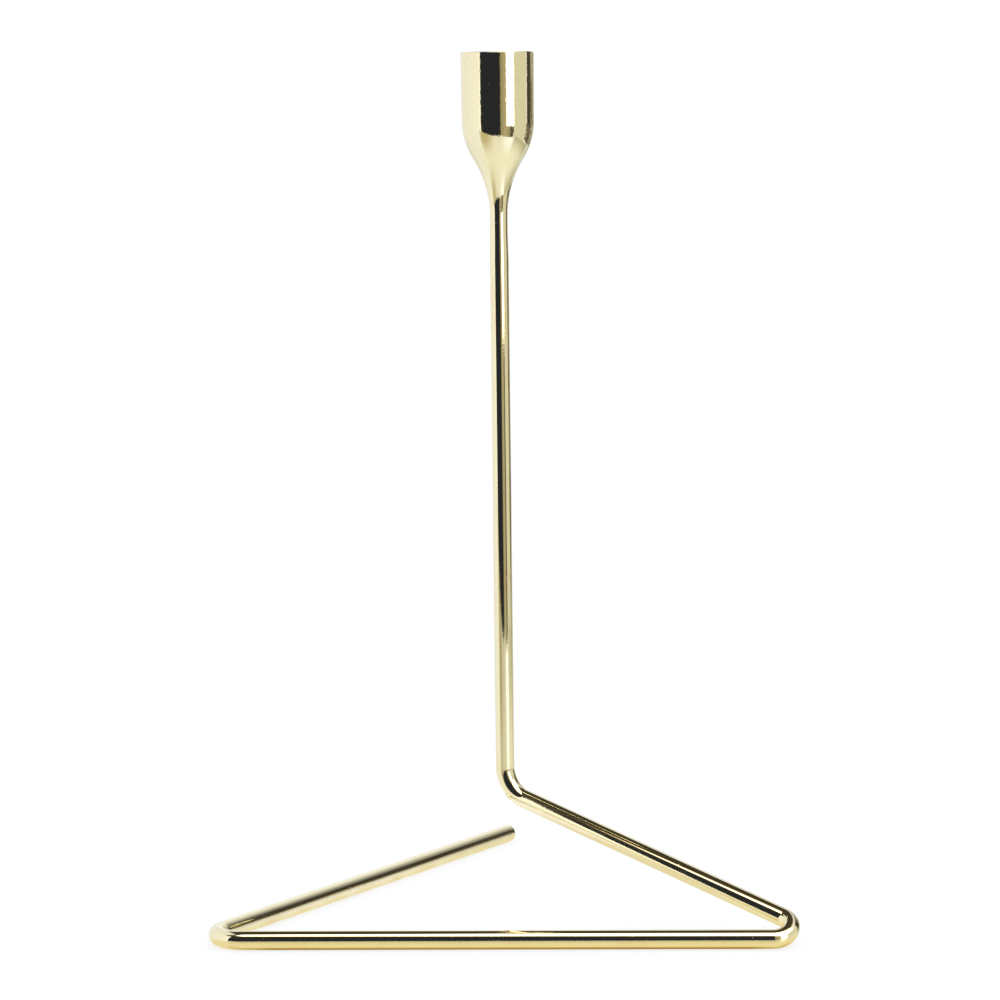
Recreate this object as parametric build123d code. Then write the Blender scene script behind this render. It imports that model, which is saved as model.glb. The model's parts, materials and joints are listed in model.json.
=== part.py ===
"""Brass candlestick: one bent round rod carrying a turned candle cup.

The rod starts at a free end on the table, runs forward to a corner, across the front,
round a second corner, up to the foot of the stem and then straight up to the cup.
X runs to the right, Y to the back and Z up. The origin is the centre of the footprint,
at table level. All sizes are in millimetres.
"""

import os
from math import acos, degrees, sin

from build123d import *

# Rod
ROD_DIAMETER = 6.35
ROD_END_ROUND = 0.8
FRONT_BAR_LENGTH = 209.0  # between the corners' sharp points
LEFT_ARM_LENGTH = 195.5  # from the sharp corner to the free end
CORNER_ANGLE = 60.0  # of the triangle on the table
STEM_SET_BACK = 66.0  # stem axis behind the front bar's axis
STEM_OFFSET_LEFT = 3.8  # stem axis left of the front bar's middle
STEM_FOOT_HEIGHT = 40.0  # where the rising arm's axis meets the stem's axis

# Bend radii, on the rod's axis
LEFT_CORNER_BEND = 9.4
RIGHT_CORNER_BEND = 5.8
STEM_FOOT_BEND = 11.2

# Candle cup, from the rim down
RIM_HEIGHT = 293.0
RIM_RADIUS = 12.4
CUP_LOWER_RADIUS = 12.25
CUP_WALL_HEIGHT = 23.4
SHOULDER_RADIUS = 23.4  # bulging arc under the cup
COVE_RADIUS = 36.3  # hollow arc down to the neck
NECK_RADIUS = 2.98
RIM_ROUND = 0.3

# Candle bore
BORE_RADIUS = 11.2
BORE_DEPTH = 24.0
BORE_LEAD_IN = 0.4
BORE_FLOOR_ROUND = 1.0

# Joint between the cup's neck and the rod
JOINT_DEPTH_BELOW_RIM = 57.5
SEAM_THICKNESS = 0.2
NECK_LAND = 4.5  # rod filed down to the neck's radius
NECK_TAPER = 8.0  # from the neck's radius back to the full rod
STUD_RADIUS = 1.5
STUD_CLEARANCE = 0.03
STUD_DEPTH = 9.0  # into the cup and into the rod, each
STUD_CHAMFER = 0.3

ROD_RADIUS = ROD_DIAMETER / 2
SEAM_TOP = RIM_HEIGHT - JOINT_DEPTH_BELOW_RIM
SEAM_BOTTOM = SEAM_TOP - SEAM_THICKNESS
STUD_HOLE_RADIUS = STUD_RADIUS + STUD_CLEARANCE
STEM_AXIS = Pos(-STEM_OFFSET_LEFT, STEM_SET_BACK, 0)


def make_bent_rod():
    """One rod: left arm, front bar, rising right arm and stem, with a blind hole for the stud."""
    half_bar = FRONT_BAR_LENGTH / 2
    left_corner = Vector(-half_bar, 0, ROD_RADIUS)
    right_corner = Vector(half_bar, 0, ROD_RADIUS)
    arm_direction = Vector(1, 0, 0).rotate(Axis.Z, CORNER_ANGLE)
    free_end = left_corner + arm_direction * LEFT_ARM_LENGTH
    stem_foot = Vector(-STEM_OFFSET_LEFT, STEM_SET_BACK, STEM_FOOT_HEIGHT)
    taper_bottom = SEAM_BOTTOM - NECK_LAND - NECK_TAPER
    stem_top = Vector(-STEM_OFFSET_LEFT, STEM_SET_BACK, taper_bottom)

    path = FilletPolyline(
        free_end,
        left_corner,
        right_corner,
        stem_foot,
        stem_top,
        radius=(LEFT_CORNER_BEND, RIGHT_CORNER_BEND, STEM_FOOT_BEND),
    )
    section = Plane(origin=free_end, z_dir=-arm_direction) * Circle(ROD_RADIUS)
    rod = sweep(section, path=path)
    free_face = rod.faces().sort_by_distance(free_end)[0]
    rod = fillet(free_face.edges(), ROD_END_ROUND)

    dressed_top = revolve(
        Plane.XZ
        * make_face(
            Polyline(
                (0, taper_bottom),
                (ROD_RADIUS, taper_bottom),
                (NECK_RADIUS, taper_bottom + NECK_TAPER),
                (NECK_RADIUS, SEAM_BOTTOM),
                (0, SEAM_BOTTOM),
                close=True,
            )
        ),
        axis=Axis.Z,
    )
    stud_hole = Pos(0, 0, SEAM_BOTTOM - STUD_DEPTH / 2) * Cylinder(STUD_HOLE_RADIUS, STUD_DEPTH)
    return rod + STEM_AXIS * dressed_top - STEM_AXIS * stud_hole


def make_candle_cup():
    """Turned cup: thin wall, bulging shoulder and hollow cove down to the neck."""
    neck_drop = CUP_LOWER_RADIUS - NECK_RADIUS
    turn = acos(1 - neck_drop / (SHOULDER_RADIUS + COVE_RADIUS))
    shoulder_top = RIM_HEIGHT - CUP_WALL_HEIGHT
    cove_bottom = shoulder_top - (SHOULDER_RADIUS + COVE_RADIUS) * sin(turn)

    shoulder = CenterArc(
        (CUP_LOWER_RADIUS - SHOULDER_RADIUS, shoulder_top),
        SHOULDER_RADIUS,
        0,
        -degrees(turn),
    )
    cove = CenterArc(
        (NECK_RADIUS + COVE_RADIUS, cove_bottom),
        COVE_RADIUS,
        180,
        -degrees(turn),
    )
    outline = [
        Polyline((0, SEAM_TOP), (NECK_RADIUS, SEAM_TOP), (NECK_RADIUS, cove_bottom)),
        cove,
        shoulder,
        Polyline((CUP_LOWER_RADIUS, shoulder_top), (RIM_RADIUS, RIM_HEIGHT), (0, RIM_HEIGHT)),
        Line((0, RIM_HEIGHT), (0, SEAM_TOP)),
    ]
    body = revolve(Plane.XZ * make_face(outline), axis=Axis.Z)
    rim_edge = body.edges().filter_by(GeomType.CIRCLE).sort_by(Axis.Z)[-1]
    body = fillet(rim_edge, RIM_ROUND)

    bore = Pos(0, 0, RIM_HEIGHT - BORE_DEPTH / 2) * Cylinder(BORE_RADIUS, BORE_DEPTH)
    bore = fillet(bore.edges().sort_by(Axis.Z)[0], BORE_FLOOR_ROUND)
    lead_in = Pos(0, 0, RIM_HEIGHT - BORE_LEAD_IN / 2) * Cone(
        BORE_RADIUS, BORE_RADIUS + BORE_LEAD_IN, BORE_LEAD_IN
    )
    stud_hole = Pos(0, 0, SEAM_TOP + STUD_DEPTH / 2) * Cylinder(STUD_HOLE_RADIUS, STUD_DEPTH)
    return STEM_AXIS * (body - bore - lead_in - stud_hole)


def make_joining_stud():
    """Plain pin hidden in the two blind holes, seated on the bottom of both."""
    length = 2 * STUD_DEPTH + SEAM_THICKNESS
    pin = Pos(0, 0, (SEAM_TOP + SEAM_BOTTOM) / 2) * Cylinder(STUD_RADIUS, length)
    pin = chamfer(pin.edges().filter_by(GeomType.CIRCLE), STUD_CHAMFER)
    return STEM_AXIS * pin


def make_solder_seam():
    """Thin ring of solder between the neck's end face and the rod's end face."""
    middle = Pos(0, 0, (SEAM_TOP + SEAM_BOTTOM) / 2)
    ring = Cylinder(NECK_RADIUS, SEAM_THICKNESS) - Cylinder(STUD_HOLE_RADIUS, SEAM_THICKNESS)
    return STEM_AXIS * middle * ring


def main():
    pieces = {
        "bent_rod": make_bent_rod(),
        "candle_cup": make_candle_cup(),
        "joining_stud": make_joining_stud(),
        "solder_seam": make_solder_seam(),
    }
    footprint = pieces["bent_rod"].bounding_box().center()
    to_origin = Pos(-footprint.X, -footprint.Y, 0)
    os.makedirs("parts", exist_ok=True)
    for name, piece in pieces.items():
        placed = to_origin * piece
        export_step(placed, f"parts/{name}.step")
        box = placed.bounding_box()
        print(name, "volume", round(placed.volume, 1), "from", box.min, "to", box.max)
    print("stem axis at", -STEM_OFFSET_LEFT - footprint.X, STEM_SET_BACK - footprint.Y)


main()
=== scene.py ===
"""Looks for the brass candlestick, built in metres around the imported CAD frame."""

import json
from math import acos, atan2, cos, hypot, pi, radians, sin, tan

import bpy
from mathutils import Matrix, Vector


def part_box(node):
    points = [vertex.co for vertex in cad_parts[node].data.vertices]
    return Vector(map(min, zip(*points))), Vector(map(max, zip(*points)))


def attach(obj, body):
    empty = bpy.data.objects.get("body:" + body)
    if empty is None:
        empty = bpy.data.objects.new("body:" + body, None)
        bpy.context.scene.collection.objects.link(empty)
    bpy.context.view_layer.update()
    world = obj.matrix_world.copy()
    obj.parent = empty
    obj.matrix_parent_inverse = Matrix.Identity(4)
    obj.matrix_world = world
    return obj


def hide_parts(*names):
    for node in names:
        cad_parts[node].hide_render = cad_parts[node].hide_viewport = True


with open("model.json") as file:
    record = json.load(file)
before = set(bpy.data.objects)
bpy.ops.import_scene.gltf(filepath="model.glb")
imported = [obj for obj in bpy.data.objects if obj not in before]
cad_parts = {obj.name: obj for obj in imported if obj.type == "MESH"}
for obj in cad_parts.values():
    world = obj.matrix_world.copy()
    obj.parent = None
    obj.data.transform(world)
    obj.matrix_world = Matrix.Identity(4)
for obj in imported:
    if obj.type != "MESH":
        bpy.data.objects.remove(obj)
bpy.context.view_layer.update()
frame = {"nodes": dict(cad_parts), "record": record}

# The design's driving dimensions, in metres
ROD_RADIUS = 0.003175
ROD_END_ROUND = 0.0008
FRONT_BAR_LENGTH = 0.209
LEFT_ARM_LENGTH = 0.1955
CORNER_ANGLE = radians(60)
STEM_SET_BACK = 0.066
STEM_OFFSET_LEFT = 0.0038
STEM_FOOT_HEIGHT = 0.040
BEND_RADII = (0.0094, 0.0058, 0.0112)  # left corner, right corner, stem's foot
RIM_RADIUS = 0.0124
CUP_LOWER_RADIUS = 0.01225
CUP_WALL_HEIGHT = 0.0234
SHOULDER_RADIUS = 0.0234
COVE_RADIUS = 0.0363
NECK_RADIUS = 0.00298
RIM_ROUND = 0.0003
BORE_RADIUS = 0.0112
BORE_DEPTH = 0.024
BORE_LEAD_IN = 0.0004
BORE_FLOOR_ROUND = 0.001
NECK_LAND = 0.0045
NECK_TAPER = 0.008
STUD_HOLE_RADIUS = 0.00153
STUD_DEPTH = 0.009

# Places taken from the frame
SOCKET = next(m for m in frame["record"]["mounts"] if m["name"] == "candle_socket")
STEM_X, STEM_Y = SOCKET["pos_m"][:2]
RIM_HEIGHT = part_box("candle_cup")[1].z
SEAM_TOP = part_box("candle_cup")[0].z
SEAM_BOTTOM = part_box("solder_seam")[0].z

# What bending leaves on the rod: a flatter outside and faint wrinkles inside
BEND_FLATNESS = 0.012  # of the rod's radius
WRINKLE_DEPTH = 0.000012
WRINKLE_PITCH = 0.0011

# Fineness of the pieces built here
ROD_SIDES = 96
CUP_SIDES = 240
RUN_STEP = 0.004
TAPER_STEP = 0.0005
LAND_STEP = 0.0015
WALL_STEP = 0.001
BORE_STEP = 0.002
BEND_STEP = radians(2)
ARC_STEP = radians(1)
ROD_END_STEP = radians(9)
RIM_STEP = radians(15)
BORE_FLOOR_STEP = radians(10)
SHARP_ANGLE = radians(40)

# Metal colours: clean brass, its darker tarnish, the dirt on it, the floor of a pit, and solder
BRASS = (0.90, 0.80, 0.50)
TARNISH = (0.80, 0.63, 0.33)
GRIME = (0.72, 0.60, 0.34)
PIT_BROWN = (0.42, 0.30, 0.17)
SOLDER = (0.80, 0.77, 0.66)

# Marks on the metal: (across, along) cells per metre
CLOUDS = (55, 55)
SMEARS = (420, 130)
WAVES = (90, 45)
ORANGE_PEEL = (2100, 2100)
SCRATCHES = (2600, 240)
MIST = (1300, 1300)

# Specks: cells per metre, a speck's radius in cells, and the share of cells that hold one
PITS = (330, 0.11, 0.14)
DUST = (900, 0.20, 0.08)
DENTS = (1150, 0.36, 0.35)

# How far the marks rise or sink, in metres
WAVE_HEIGHT = 1.6e-5
SCRATCH_DEPTH = 1.5e-6
PIT_DEPTH = 8.0e-6
DUST_HEIGHT = 8.0e-6
DENT_SHARE = 0.5  # of the orange peel's height

# Stage: distances from the stem, heights above the table, and fineness
NEAR_CARD = 1.29
WALL_CARD = 1.3
FAR_CARD = 1.31
FARTHEST_CARD = 1.32
CEILING_HEIGHT = 1.2
CARD_STEPS = 24
CEILING_STEP = 0.025
TABLE_STEP = 0.006
TABLE_FRONT = -0.60
FLOOR_REACH = 8
CONTACT_LINE_HEIGHT = 0.00004

# Stage: light and finish
STUDIO_WHITE = (1.0, 1.045, 1.17)
LAMP_LIGHT = 3.0
DARK_CEILING = (0.055, 0.050, 0.036)
OPEN_CEILING = (0.92, 0.95, 1.05)
MURK_DARK = (0.035, 0.030, 0.028)
MURK_CELLS = 22
PAPER_ROUGHNESS = 0.22
PAPER_SPECULAR = 0.14
FLOOR_GREY = 0.24
FLOOR_ROUGHNESS = 0.9
FLOOR_LIGHT = 0.765

# Camera: it turns about the middle of the front bar. Angles in radians, lens and sensor in mm
CAMERA_TURN = 0.0398
CAMERA_PITCH = 0.1195
CAMERA_ROLL = 0.0118
CAMERA_LENS = 134.5
CAMERA_DISTANCE = 1.201548
CAMERA_SIDE = -0.0018856
SENSOR_WIDTH = 36.0


# ---------------------------------------------------------------- mesh helpers

def fillet_path(corners, radii):
    """Stations of straight runs joined by tangent arcs: point, outward direction, how much bent."""
    stations = []
    start = corners[0]
    for before, corner, after, radius in zip(corners, corners[1:], corners[2:], radii):
        back = (before - corner).normalized()
        ahead = (after - corner).normalized()
        half = back.angle(ahead) / 2
        trim = radius / tan(half)
        centre = corner + (back + ahead).normalized() * radius / sin(half)
        first = corner + back * trim
        out = (first - centre) / radius
        turn = pi - 2 * half
        steps = round(turn / BEND_STEP)
        stations += run_stations(start, first)
        for i in range(1, steps):
            angle = turn * i / steps
            away = out * cos(angle) - back * sin(angle)
            stations.append((centre + radius * away, away, sin(pi * i / steps)))
        start = corner + ahead * trim
    return stations + run_stations(start, corners[-1])


def run_stations(a, b):
    """Even stations from a to b, both included, on a straight run."""
    steps = max(2, round((b - a).length / RUN_STEP))
    return [(a.lerp(b, i / steps), Vector(), 0.0) for i in range(steps + 1)]


def cross_frames(points):
    """For each point, two directions across the path that never twist about it."""
    frames = []
    side = Vector((0, 0, -1))
    for i in range(len(points)):
        tangent = (points[min(i + 1, len(points) - 1)] - points[max(i - 1, 0)]).normalized()
        side = (side - tangent * side.dot(tangent)).normalized()
        frames.append((side, tangent.cross(side)))
    return frames


def add_object(name, data):
    """A new object in the scene."""
    thing = bpy.data.objects.new(name, data)
    bpy.context.scene.collection.objects.link(thing)
    return thing


def skin(name, rings, grain, first_hub, last_hub):
    """A closed mesh from rings of equal length, with a fan over each end.

    grain gives each ring's points in the metal's own directions: two across and one along.
    """
    sides = len(rings[0])
    faces = []
    for r in range(len(rings) - 1):
        for s in range(sides):
            n = (s + 1) % sides
            faces.append((r * sides + s, r * sides + n, (r + 1) * sides + n, (r + 1) * sides + s))
    hub = len(rings) * sides
    last = (len(rings) - 1) * sides
    for s in range(sides):
        n = (s + 1) % sides
        faces.append((hub, n, s))
        faces.append((hub + 1, last + s, last + n))
    mesh = bpy.data.meshes.new(name)
    mesh.from_pydata([v for ring in rings for v in ring] + [first_hub, last_hub], [], faces)
    layer = mesh.attributes.new("grain", "FLOAT_VECTOR", "POINT")
    spots = [spot for ring in grain for spot in ring]
    spots += [(0, 0, grain[0][0][2]), (0, 0, grain[-1][0][2])]
    layer.data.foreach_set("vector", [number for spot in spots for number in spot])
    mesh.shade_smooth()
    mesh.set_sharp_from_angle(angle=SHARP_ANGLE)
    return add_object(name, mesh)


def circle(sides):
    """The cosine and sine of each point round a ring."""
    return [(cos(2 * pi * s / sides), sin(2 * pi * s / sides)) for s in range(sides)]


def arc(centre, radius, start, end, step=ARC_STEP):
    """Points (radius, height) of an arc in the profile's plane, both ends included."""
    steps = max(3, round(abs(end - start) / step))
    angles = [start + (end - start) * i / steps for i in range(steps + 1)]
    return [(centre[0] + radius * cos(angle), centre[1] + radius * sin(angle)) for angle in angles]


def straight(a, b, step):
    """Points (radius, height) strictly between a and b."""
    steps = max(1, round(hypot(b[0] - a[0], b[1] - a[1]) / step))
    shares = [i / steps for i in range(1, steps)]
    return [(a[0] + (b[0] - a[0]) * t, a[1] + (b[1] - a[1]) * t) for t in shares]


# ---------------------------------------------------------------- the pieces

def make_rod():
    """The bent rod, from its rounded free end to the blind hole under the solder."""
    middle = Vector((STEM_X + STEM_OFFSET_LEFT, STEM_Y - STEM_SET_BACK, ROD_RADIUS))
    left_corner = middle - Vector((FRONT_BAR_LENGTH / 2, 0, 0))
    right_corner = middle + Vector((FRONT_BAR_LENGTH / 2, 0, 0))
    free_end = left_corner + LEFT_ARM_LENGTH * Vector((cos(CORNER_ANGLE), sin(CORNER_ANGLE), 0))
    foot = Vector((STEM_X, STEM_Y, STEM_FOOT_HEIGHT))
    taper_top = SEAM_BOTTOM - NECK_LAND
    taper_bottom = taper_top - NECK_TAPER
    stem_end = Vector((STEM_X, STEM_Y, taper_bottom))
    hole_floor = SEAM_BOTTOM - STUD_DEPTH
    stations = fillet_path([free_end, left_corner, right_corner, foot, stem_end], BEND_RADII)
    frames = cross_frames([station[0] for station in stations])

    rings = []
    grain = []

    def add_ring(centre, frame, radius, along, outward=Vector(), bent=0.0):
        ring = []
        for c, s in circle(ROD_SIDES):
            away = frame[0] * c + frame[1] * s
            facing = away.dot(outward)
            flat = BEND_FLATNESS * ROD_RADIUS * max(0.0, facing) ** 2
            wrinkle = WRINKLE_DEPTH * max(0.0, -facing) ** 3 * sin(2 * pi * along / WRINKLE_PITCH)
            ring.append(centre + away * (radius - bent * (flat + wrinkle)))
        rings.append(ring)
        grain.append([(radius * c, radius * s, along) for c, s in circle(ROD_SIDES)])

    inward = (left_corner - free_end).normalized()
    flat_radius = ROD_RADIUS - ROD_END_ROUND
    for share in (0.25, 0.5, 0.75):
        add_ring(free_end, frames[0], flat_radius * share, 0.0)
    end_round = arc((flat_radius, ROD_END_ROUND), ROD_END_ROUND, -pi / 2, 0, ROD_END_STEP)
    for radius, depth in end_round:
        add_ring(free_end + inward * depth, frames[0], radius, depth)
    along = 0.0
    for i in range(1, len(stations)):
        point, outward, bent = stations[i]
        along += (point - stations[i - 1][0]).length
        add_ring(point, frames[i], ROD_RADIUS, along, outward, bent)

    land_bottom = (NECK_RADIUS, taper_top)
    land_top = (NECK_RADIUS, SEAM_BOTTOM)
    profile = straight((ROD_RADIUS, taper_bottom), land_bottom, TAPER_STEP)
    profile += [land_bottom]
    profile += straight(land_bottom, land_top, LAND_STEP)
    profile += [land_top, (STUD_HOLE_RADIUS, SEAM_BOTTOM), (STUD_HOLE_RADIUS, hole_floor)]
    for radius, height in profile:
        centre = Vector((STEM_X, STEM_Y, height))
        add_ring(centre, frames[-1], radius, along + height - taper_bottom)
    return skin("bent_rod_visual", rings, grain, free_end, Vector((STEM_X, STEM_Y, hole_floor)))


def cup_profile():
    """The cup's outline as (radius, height) points, and how many of them come before its bore.

    It runs from the stud's hole, up the outside and over the rim, to the bore's floor.
    """
    drop = CUP_LOWER_RADIUS - NECK_RADIUS
    turn = acos(1 - drop / (SHOULDER_RADIUS + COVE_RADIUS))
    shoulder_top = RIM_HEIGHT - CUP_WALL_HEIGHT
    cove_bottom = shoulder_top - (SHOULDER_RADIUS + COVE_RADIUS) * sin(turn)
    neck_foot = (NECK_RADIUS, SEAM_TOP)
    wall_foot = (CUP_LOWER_RADIUS, shoulder_top)
    wall_head = (RIM_RADIUS, RIM_HEIGHT - RIM_ROUND)
    rim_centre = (RIM_RADIUS - RIM_ROUND, RIM_HEIGHT - RIM_ROUND)
    floor = RIM_HEIGHT - BORE_DEPTH
    floor_edge = BORE_RADIUS - BORE_FLOOR_ROUND
    bore_head = (BORE_RADIUS, RIM_HEIGHT - BORE_LEAD_IN)
    bore_foot = (BORE_RADIUS, floor + BORE_FLOOR_ROUND)

    profile = [(STUD_HOLE_RADIUS, SEAM_TOP + STUD_DEPTH), (STUD_HOLE_RADIUS, SEAM_TOP), neck_foot]
    profile += straight(neck_foot, (NECK_RADIUS, cove_bottom), TAPER_STEP)
    profile += arc((NECK_RADIUS + COVE_RADIUS, cove_bottom), COVE_RADIUS, pi, pi - turn)
    shoulder_centre = (CUP_LOWER_RADIUS - SHOULDER_RADIUS, shoulder_top)
    profile += arc(shoulder_centre, SHOULDER_RADIUS, -turn, 0)[1:]
    profile += straight(wall_foot, wall_head, WALL_STEP)
    profile += arc(rim_centre, RIM_ROUND, 0, pi / 2, RIM_STEP)
    outside = len(profile)
    profile += [(BORE_RADIUS + BORE_LEAD_IN, RIM_HEIGHT), bore_head]
    profile += straight(bore_head, bore_foot, BORE_STEP)
    floor_centre = (floor_edge, floor + BORE_FLOOR_ROUND)
    profile += arc(floor_centre, BORE_FLOOR_ROUND, 0, -pi / 2, BORE_FLOOR_STEP)
    profile += [(floor_edge * share, floor) for share in (0.8, 0.6, 0.4, 0.2)]
    return profile, outside


def make_cup():
    """The candle cup, turned about the stem's axis, polished outside and plain-turned inside."""
    profile, outside = cup_profile()
    ring = circle(CUP_SIDES)
    rings = []
    grain = []
    along = 0.0
    last = profile[0]
    for radius, height in profile:
        along += hypot(radius - last[0], height - last[1])
        last = (radius, height)
        rings.append([Vector((STEM_X + radius * c, STEM_Y + radius * s, height)) for c, s in ring])
        grain.append([(radius * c, radius * s, along) for c, s in ring])
    hole_top = Vector((STEM_X, STEM_Y, SEAM_TOP + STUD_DEPTH))
    bore_floor = Vector((STEM_X, STEM_Y, last[1]))
    piece = skin("candle_cup_visual", rings, grain, hole_top, bore_floor)

    first_bore_vertex = outside * CUP_SIDES
    first_fan_face = (len(rings) - 1) * CUP_SIDES
    floor_hub = len(rings) * CUP_SIDES + 1
    for face in piece.data.polygons:
        in_bore_wall = max(face.vertices) >= first_bore_vertex and face.index < first_fan_face
        if in_bore_wall or floor_hub in face.vertices:
            face.material_index = 1
    return piece


# ---------------------------------------------------------------- materials

class Wiring:
    """A material under construction: its methods add nodes and return what the nodes give."""

    def __init__(self, name, grained=True):
        self.grained = grained
        self.material = bpy.data.materials.new(name)
        self.material.use_nodes = True
        self.tree = self.material.node_tree
        self.shader = self.tree.nodes["Principled BSDF"]

    def node(self, kind, settings=(), **inputs):
        """The new node itself, with inputs named by their sockets, "_" standing for a space."""
        node = self.tree.nodes.new(kind)
        for key, value in dict(settings).items():
            setattr(node, key, value)
        for key, value in inputs.items():
            self.feed(node.inputs[key.replace("_", " ")], value)
        return node

    def feed(self, socket, value):
        """Links an output to a socket, or sets the socket to a plain value."""
        if isinstance(value, bpy.types.NodeSocket):
            self.tree.links.new(value, socket)
        else:
            socket.default_value = value

    def grain(self, across, along):
        """The metal's own coordinates, or without them the object's, in cells per metre."""
        if self.grained:
            source = self.node("ShaderNodeAttribute", {"attribute_name": "grain"}).outputs["Vector"]
        else:
            source = self.node("ShaderNodeTexCoord").outputs["Object"]
        scale = self.node("ShaderNodeVectorMath", {"operation": "MULTIPLY"})
        self.feed(scale.inputs[0], source)
        self.feed(scale.inputs[1], (across, across, along))
        return scale.outputs["Vector"]

    def noise(self, vector, detail=2.0, roughness=0.5, distortion=0.0):
        node = self.node("ShaderNodeTexNoise", Vector=vector, Scale=1.0, Detail=detail,
                         Roughness=roughness, Distortion=distortion)
        return node.outputs["Fac"]

    def window(self, value, low, high, to_low=0.0, to_high=1.0):
        """Maps low..high smoothly to to_low..to_high, and holds it outside."""
        node = self.node("ShaderNodeMapRange", {"interpolation_type": "SMOOTHSTEP"}, Value=value,
                         From_Min=low, From_Max=high, To_Min=to_low, To_Max=to_high)
        return node.outputs["Result"]

    def math(self, operation, a, b):
        node = self.node("ShaderNodeMath", {"operation": operation})
        self.feed(node.inputs[0], a)
        self.feed(node.inputs[1], b)
        return node.outputs["Value"]

    def scaled(self, value, factor):
        return self.math("MULTIPLY", value, factor)

    def total(self, *values):
        result = values[0]
        for value in values[1:]:
            result = self.math("ADD", result, value)
        return result

    def blend(self, share, a, b):
        """The colour a share of the way from a to b."""
        node = self.node("ShaderNodeMix", {"data_type": "RGBA"})
        self.feed(node.inputs["Factor"], share)
        self.feed(node.inputs["A"], (*a, 1) if isinstance(a, tuple) else a)
        self.feed(node.inputs["B"], (*b, 1) if isinstance(b, tuple) else b)
        return node.outputs["Result"]

    def spots(self, cells, size, share):
        """Sparse round specks: 1 in the middle of a speck, 0 elsewhere."""
        cell = self.node("ShaderNodeTexVoronoi", Vector=self.grain(cells, cells), Scale=1.0)
        speck = self.window(cell.outputs["Distance"], size, size * 0.5)
        draw = self.node("ShaderNodeSeparateColor", Color=cell.outputs["Color"]).outputs[0]
        chosen = self.window(draw, 1 - share, 1 - share + 0.02)
        return self.math("MULTIPLY", speck, chosen)


def brass(name, lines, line_height, peel, polish, tarnish_share, colour=BRASS, grained=True):
    """Worked brass: lines is (across, along) cells per metre, line_height their depth in metres.

    peel is the height in metres of the fine unevenness that polishing leaves, polish the usual
    roughness, and tarnish_share how far tarnish can change the colour.
    """
    metal = Wiring(name, grained)
    clouds = metal.noise(metal.grain(*CLOUDS), detail=4.0, roughness=0.6)
    bloom = metal.window(clouds, 0.50, 0.78)
    smears = metal.noise(metal.grain(*SMEARS), detail=3.0, distortion=0.6)
    smears = metal.window(smears, 0.56, 0.72)
    worked = metal.noise(metal.grain(*lines), detail=3.0, roughness=0.65)
    broad = metal.noise(metal.grain(lines[0] / 5, lines[1] / 5), detail=1.0)
    waves = metal.noise(metal.grain(*WAVES), detail=1.0)
    orange_peel = metal.noise(metal.grain(*ORANGE_PEEL), detail=1.0)
    scratches = metal.noise(metal.grain(*SCRATCHES), detail=1.0, distortion=1.2)
    scratches = metal.window(scratches, 0.72, 0.75)
    mist = metal.window(metal.noise(metal.grain(*MIST), detail=2.0), 0.52, 0.72)
    pits = metal.spots(*PITS)
    dust = metal.spots(*DUST)
    dents = metal.spots(*DENTS)

    tint = metal.blend(metal.scaled(bloom, tarnish_share), colour, TARNISH)
    stains = ((mist, 0.14, GRIME), (smears, 0.10, GRIME), (pits, 0.45, PIT_BROWN))
    for marks, share, stain in stains:
        tint = metal.blend(metal.scaled(marks, share), tint, stain)
    roughness = metal.total(
        metal.window(clouds, 0.3, 0.7, polish * 0.7, polish * 1.3),
        metal.scaled(smears, polish * 0.8),
        metal.scaled(scratches, 0.10),
        metal.scaled(dust, 0.30),
    )
    height = metal.total(
        metal.scaled(worked, line_height),
        metal.scaled(broad, line_height * 2.0),
        metal.scaled(waves, WAVE_HEIGHT),
        metal.scaled(orange_peel, peel),
        metal.scaled(scratches, -SCRATCH_DEPTH),
        metal.scaled(pits, -PIT_DEPTH),
        metal.scaled(dust, DUST_HEIGHT),
        metal.scaled(dents, -DENT_SHARE * peel),
    )
    bump = metal.node("ShaderNodeBump", Height=height, Distance=1.0, Strength=1.0)
    metal.feed(metal.shader.inputs["Base Color"], tint)
    metal.feed(metal.shader.inputs["Roughness"], roughness)
    metal.feed(metal.shader.inputs["Normal"], bump.outputs["Normal"])
    metal.shader.inputs["Metallic"].default_value = 1.0
    return metal.material


def painted(name, emits, mottled=False):
    """A stage material that shows its mesh's colours, as light or, with painted light and shade in
    them, as satin paper.

    Mottled, it is broken into dark and light patches, like an unlit corner of a busy room.
    """
    paint = Wiring(name, grained=False)
    colour = paint.node("ShaderNodeVertexColor", {"layer_name": "light"}).outputs["Color"]
    if not emits:
        paint.feed(paint.shader.inputs["Base Color"], colour)
        paint.feed(paint.shader.inputs["Roughness"], PAPER_ROUGHNESS)
        paint.feed(paint.shader.inputs["Specular IOR Level"], PAPER_SPECULAR)
        return paint.material
    if mottled:
        patches = paint.noise(paint.grain(MURK_CELLS, MURK_CELLS), detail=3.0, roughness=0.6)
        colour = paint.blend(paint.window(patches, 0.46, 0.54), MURK_DARK, colour)
    light = paint.node("ShaderNodeEmission", Color=colour)
    paint.tree.nodes.remove(paint.shader)
    paint.feed(paint.tree.nodes["Material Output"].inputs["Surface"], light.outputs[0])
    return paint.material


# ---------------------------------------------------------------- stage

def stage_point(x, y, z):
    """A point given from the stem's foot, with -y towards the camera."""
    return Vector((STEM_X, STEM_Y, 0)) + Matrix.Rotation(CAMERA_TURN, 3, "Z") @ Vector((x, y, z))


def reflector(name, vertices, faces, colours, material):
    """A stage surface that only reflections see."""
    mesh = bpy.data.meshes.new(name)
    mesh.from_pydata(vertices, [], faces)
    layer = mesh.color_attributes.new("light", "FLOAT_COLOR", "POINT")
    for spot, colour in zip(layer.data, colours):
        spot.color = (*colour, 1)
    mesh.materials.append(material)
    panel = add_object(name, mesh)
    panel.visible_camera = False
    panel.visible_diffuse = False
    panel.visible_shadow = False
    panel.visible_transmission = False


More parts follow.
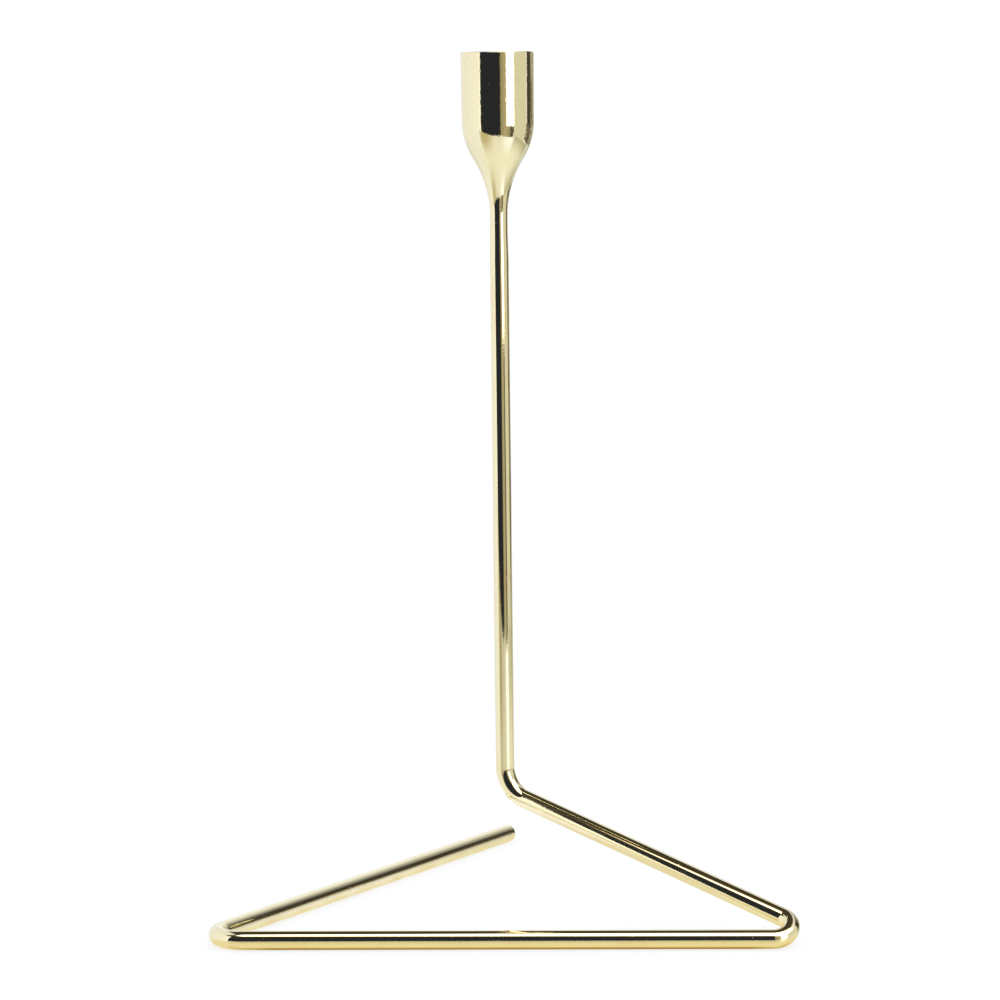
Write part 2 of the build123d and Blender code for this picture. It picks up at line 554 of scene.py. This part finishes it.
def between(a, b, share):
    """The colour a share of the way from a to b."""
    return tuple(u + (v - u) * share for u, v in zip(a, b))


def smooth(value, low, high):
    """0 below low, 1 above high and smooth between."""
    share = min(1.0, max(0.0, (value - low) / (high - low)))
    return share * share * (3 - 2 * share)


def spread(low, high, step):
    """Even numbers from low to about high."""
    return [low + step * i for i in range(round((high - low) / step) + 1)]


def grid_faces(columns, rows, keeps=None):
    """The quads between neighbouring points of a grid; keeps(x, y) says which ones stay."""
    width = len(columns)
    faces = []
    for j in range(len(rows) - 1):
        for i in range(width - 1):
            if keeps is None or keeps(columns[i], rows[j]):
                corner = j * width + i
                faces.append((corner, corner + 1, corner + width + 1, corner + width))
    return faces


def wall_card(name, azimuths, heights, first, last, material, distance=WALL_CARD):
    """A card bent round the stem, its colour going from first to last.

    Azimuths are in degrees: 0 is towards the camera, and they rise to its right.
    """
    vertices = []
    colours = []
    for i in range(CARD_STEPS + 1):
        azimuth = radians(azimuths[0] + (azimuths[1] - azimuths[0]) * i / CARD_STEPS)
        for height in heights:
            vertices.append(stage_point(distance * sin(azimuth), -distance * cos(azimuth), height))
            colours.append(between(first, last, i / CARD_STEPS))
    faces = [(2 * i, 2 * i + 2, 2 * i + 3, 2 * i + 1) for i in range(CARD_STEPS)]
    reflector(name, vertices, faces, colours, material)


def grid_card(name, columns, rows, height, colour_at, material, keeps=None):
    """A level grid of columns by rows of points, coloured by colour_at(x, y)."""
    vertices = [stage_point(x, y, height) for y in rows for x in columns]
    colours = [colour_at(x, y) for y in rows for x in columns]
    reflector(name, vertices, grid_faces(columns, rows, keeps), colours, material)


def ceiling_colour(x, y):
    """A bright softbox over the front, warm at its blurred edges, in a dark ceiling."""
    blur = 0.05 + 0.09 * smooth(x, -0.5, 0.1)
    front_edge = -0.93 - 0.78 * x
    back_edge = min(0.0, 0.68 * x - 0.02)
    lit = smooth(y, front_edge - blur, front_edge + blur)
    lit *= 1 - smooth(y, back_edge - blur, back_edge + blur)
    glow = tuple(LAMP_LIGHT * lit ** falloff for falloff in (2, 2.4, 3))
    open_left = smooth(-x, 0.42, 0.62) * smooth(y, -0.35, -0.05)
    open_back = smooth(y, 1.25, 1.75)
    open_right = smooth(x, 0.50, 0.75)
    ceiling = between(DARK_CEILING, OPEN_CEILING, max(open_left, open_back, open_right))
    return tuple(max(a, b) for a, b in zip(glow, ceiling))


def rod_distance(x, y):
    """How far a spot on the table, given from the stem's foot, is from the rod on or above it."""
    place = Matrix.Rotation(CAMERA_TURN, 2) @ Vector((x, y))
    left = Vector((STEM_OFFSET_LEFT - FRONT_BAR_LENGTH / 2, -STEM_SET_BACK))
    right = Vector((STEM_OFFSET_LEFT + FRONT_BAR_LENGTH / 2, -STEM_SET_BACK))
    end = left + LEFT_ARM_LENGTH * Vector((cos(CORNER_ANGLE), sin(CORNER_ANGLE)))
    nearest = 1.0
    for a, b in ((left, right), (left, end), (right, Vector((0, 0)))):
        share = min(1.0, max(0.0, (place - a).dot(b - a) / (b - a).length_squared))
        nearest = min(nearest, (place - a.lerp(b, share)).length)
    return nearest


def table_colour(x, y):
    """The pale table as the metal sees it, with painted light and shade: warm with painted light
    bounced off the brass by the rod, dimmer front left and at the right.
    """
    azimuth = atan2(x, -y)
    away = hypot(x, y)
    # Painted light and shade: each colour is how brightly that part of the table is lit, dimmer
    # front left and at the right, brighter front right
    near = (0.96, 0.98, 0.95)
    left = (0.97, 1.02, 1.13)
    front_left = (0.64, 0.58, 0.38)
    front = (0.95, 0.95, 0.91)
    front_right = (1.12, 1.20, 1.40)
    right = (0.53, 0.54, 0.43)
    back = (0.80, 0.82, 0.84)
    foot_left = (1.08, 1.10, 1.24)
    foot_right = (0.88, 0.86, 0.73)
    brass_bounce_light = (0.91, 0.84, 0.57)

    to_right = smooth(azimuth, radians(50), radians(66))
    outer = between(left, front_left, smooth(azimuth, radians(-65), radians(-60)))
    outer = between(outer, front, smooth(azimuth, radians(-42), radians(-8)))
    outer = between(outer, front_right, smooth(azimuth, radians(5), radians(34)))
    outer = between(outer, right, to_right)
    outer = between(outer, left, smooth(away, 0.66, 0.85) * to_right)
    outer = between(outer, back, smooth(abs(azimuth), radians(112), radians(150)))
    later = 0.12 * to_right
    colour = between(near, outer, smooth(away, 0.10 + later, 0.50 + later))
    foot = between(foot_left, foot_right, smooth(x, -0.035, 0.010))
    colour = between(foot, colour, smooth(away, 0.055, 0.12))
    # Painted light: a golden glow of light bounced off the brass, beside the rod and just in front
    # of the front bar
    beside_rod = 1 - smooth(rod_distance(x, y), 0.0028, 0.0060)
    in_front = (1 - smooth(abs(x), 0.09, 0.13)) * smooth(y, -0.115, -0.085)
    in_front *= 1 - smooth(y, -0.068, -0.060)
    return between(colour, brass_bounce_light, max(beside_rod, in_front))


def on_table(x, y):
    """Whether a spot lies inside the table's front edge and its cut right-hand corner."""
    return y > max(TABLE_FRONT, TABLE_FRONT + 0.7 * (x - 0.12))


def make_contact_line():
    """The brown line of doubly reflected shadow on the table under the front bar."""
    reach = FRONT_BAR_LENGTH / 2 - 0.010
    fade = 0.016
    columns = (-reach, -reach + fade, reach - fade, reach)
    rows = (-0.0028, -0.0021, -0.0012, 0.0012, 0.0021, 0.0028)
    pale = (0.88, 0.80, 0.50)
    brown = (0.55, 0.38, 0.10)
    deep = (0.34, 0.20, 0.06)
    shades = (pale, brown, deep, deep, brown, pale)
    middle = (STEM_X + STEM_OFFSET_LEFT, STEM_Y - STEM_SET_BACK, CONTACT_LINE_HEIGHT)
    vertices = [Vector(middle) + Vector((x, y, 0)) for y in rows for x in columns]
    colours = [shade if inner else pale for shade in shades for inner in (False, True, True, False)]
    shadow = painted("contact_shade", emits=True)
    reflector("contact_line", vertices, grid_faces(columns, rows), colours, shadow)


def make_floor():
    """The plain pale floor that the camera sees, partly self-lit so that its shadows stay faint."""
    paper = bpy.data.materials.new("floor_paper")
    paper.use_nodes = True
    shader = paper.node_tree.nodes["Principled BSDF"]
    shader.inputs["Base Color"].default_value = (FLOOR_GREY, FLOOR_GREY, FLOOR_GREY, 1)
    shader.inputs["Roughness"].default_value = FLOOR_ROUGHNESS
    shader.inputs["Specular IOR Level"].default_value = 0.0
    shader.inputs["Emission Color"].default_value = (1, 1, 1, 1)
    shader.inputs["Emission Strength"].default_value = FLOOR_LIGHT
    mesh = bpy.data.meshes.new("floor")
    signs = ((-1, -1), (1, -1), (1, 1), (-1, 1))
    mesh.from_pydata([(FLOOR_REACH * x, FLOOR_REACH * y, 0) for x, y in signs], [], [(0, 1, 2, 3)])
    mesh.materials.append(paper)
    floor = add_object("floor", mesh)
    floor.visible_glossy = False


def make_cards():
    """The cards round and over the object: flags, lights, tan paper and the room's murky side."""
    card = painted("studio_card", emits=True)
    murk = painted("studio_murk", emits=True, mottled=True)

    # Azimuths of the edges that neighbouring cards share
    light_edge, flag_left, flag_right = -61, -55.5, 9
    strip_left, strip_middle, strip_right = 28.5, 41, 53.5
    murk_start, murk_middle, back_start, back_middle = 103.5, 113, 127, 150

    tall = (-0.8, 1.3)
    front = (-1.0, 1.25)
    strip_foot = 0.10
    low = (-0.2, 0.19)
    flag = (0.022, 0.026, 0.040)
    white = (LAMP_LIGHT, LAMP_LIGHT, LAMP_LIGHT)
    gloom = (0.035, 0.033, 0.030)

    wall_card("left_wall", (-168, light_edge), tall, (0.91, 0.94, 1.05), (1.04, 1.085, 1.2), card)
    wall_card("left_edge", (light_edge, flag_left), tall, (1.05, 1.1, 1.22), (1.5, 1.5, 1.5), card)
    wall_card("front_flag", (flag_left, flag_right), front, flag, flag, card)
    wall_card("front_tan", (flag_right, strip_left), front,
              (0.33, 0.30, 0.19), (0.52, 0.48, 0.36), card)
    wall_card("under_strip", (strip_left, strip_middle), (-1.0, strip_foot),
              (0.45, 0.41, 0.31), (0.38, 0.34, 0.24), card, FAR_CARD)
    wall_card("under_strip_dark", (strip_middle, strip_right), (-0.32, strip_foot),
              (0.26, 0.23, 0.17), (0.20, 0.18, 0.15), murk)
    wall_card("strip_light", (strip_left, strip_right), (strip_foot, 1.6),
              white, white, card, NEAR_CARD)
    wall_card("right_wall", (strip_right, murk_start), (-1.0, 0.9),
              (0.75, 0.77, 0.71), (0.76, 0.77, 0.70), card)
    wall_card("right_murk", (murk_start, murk_middle), low,
              (0.66, 0.58, 0.42), (0.60, 0.54, 0.42), murk)
    wall_card("deep_murk", (murk_middle, back_start), low,
              (0.24, 0.21, 0.18), (0.30, 0.28, 0.26), murk)
    wall_card("arm_murk", (107, back_start), (low[1], 0.62),
              (0.10, 0.09, 0.08), (0.08, 0.07, 0.06), murk)
    wall_card("back_murk", (back_start, back_middle), (low[0], 0.42),
              (0.44, 0.42, 0.34), (0.80, 0.78, 0.66), murk)
    wall_card("back_wall", (back_middle, 177), (low[0], 0.31),
              (0.42, 0.41, 0.32), (0.68, 0.68, 0.56), card)
    wall_card("back_haze", (118, 166), (0.40, 1.2), gloom, (0.97, 1.0, 1.08), card, FARTHEST_CARD)
    wall_card("murk_top", (murk_start, 118), (0.5, 1.2),
              (0.10, 0.09, 0.07), gloom, card, FARTHEST_CARD)
    grid_card("ceiling", spread(-1.4, 1.4, CEILING_STEP), spread(-1.3, 1.8, CEILING_STEP),
              CEILING_HEIGHT, ceiling_colour, card)


def make_stage():
    """Soft white surroundings, with the dark flags and the lights that polished brass needs."""
    make_cards()
    # The table that reflections see: satin paper with painted light and shade in its colours
    paper = painted("table_paper", emits=False)
    grid_card("table_top", spread(-1.1, 0.62, TABLE_STEP), spread(TABLE_FRONT, 1.0, TABLE_STEP),
              0.0, table_colour, paper, on_table)
    make_contact_line()
    make_floor()

    world = bpy.data.worlds.new("studio")
    bpy.context.scene.world = world
    world.use_nodes = True
    background = world.node_tree.nodes["Background"]
    background.inputs["Color"].default_value = (*STUDIO_WHITE, 1)
    background.inputs["Strength"].default_value = 1.0
    bpy.context.scene.view_settings.view_transform = "Standard"


def make_camera():
    """A camera at the photo's place, as fitted to the object's outlines."""
    data = bpy.data.cameras.new("camera")
    data.sensor_width = SENSOR_WIDTH
    data.lens = CAMERA_LENS
    camera = add_object("camera", data)
    turn = Matrix.Rotation(CAMERA_TURN, 4, "Z")
    tilt = Matrix.Rotation(pi / 2 - CAMERA_PITCH, 4, "X")
    roll = Matrix.Rotation(-CAMERA_ROLL, 4, "Z")
    pivot = Vector((STEM_X + STEM_OFFSET_LEFT, STEM_Y - STEM_SET_BACK, 0))
    place = pivot + turn @ Vector((CAMERA_SIDE, -CAMERA_DISTANCE, RIM_HEIGHT))
    camera.matrix_world = Matrix.Translation(place) @ turn @ tilt @ roll
    bpy.context.scene.camera = camera


make_camera()
make_stage()

rod = make_rod()
rod.data.materials.append(brass(
    "drawn_brass", lines=(2400, 35), line_height=2.5e-7, peel=2.5e-6,
    polish=0.045, tarnish_share=0.5))
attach(rod, "root")
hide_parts("bent_rod")

cup = make_cup()
cup.data.materials.append(brass(
    "turned_brass", lines=(60, 2600), line_height=2.5e-7, peel=1.0e-5,
    polish=0.04, tarnish_share=0.4))
cup.data.materials.append(brass(
    "bored_brass", lines=(60, 1800), line_height=1.5e-6, peel=5.0e-6,
    polish=0.22, tarnish_share=0.8))
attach(cup, "root")
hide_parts("candle_cup")

for node, name, colour in (("joining_stud", "stud_brass_metal", BRASS),
                           ("solder_seam", "solder_metal", SOLDER)):
    piece = frame["nodes"][node]
    piece.data.materials.clear()
    piece.data.materials.append(brass(
        name, lines=(900, 900), line_height=6.0e-7, peel=2.5e-6,
        polish=0.16, tarnish_share=0.5, colour=colour, grained=False))
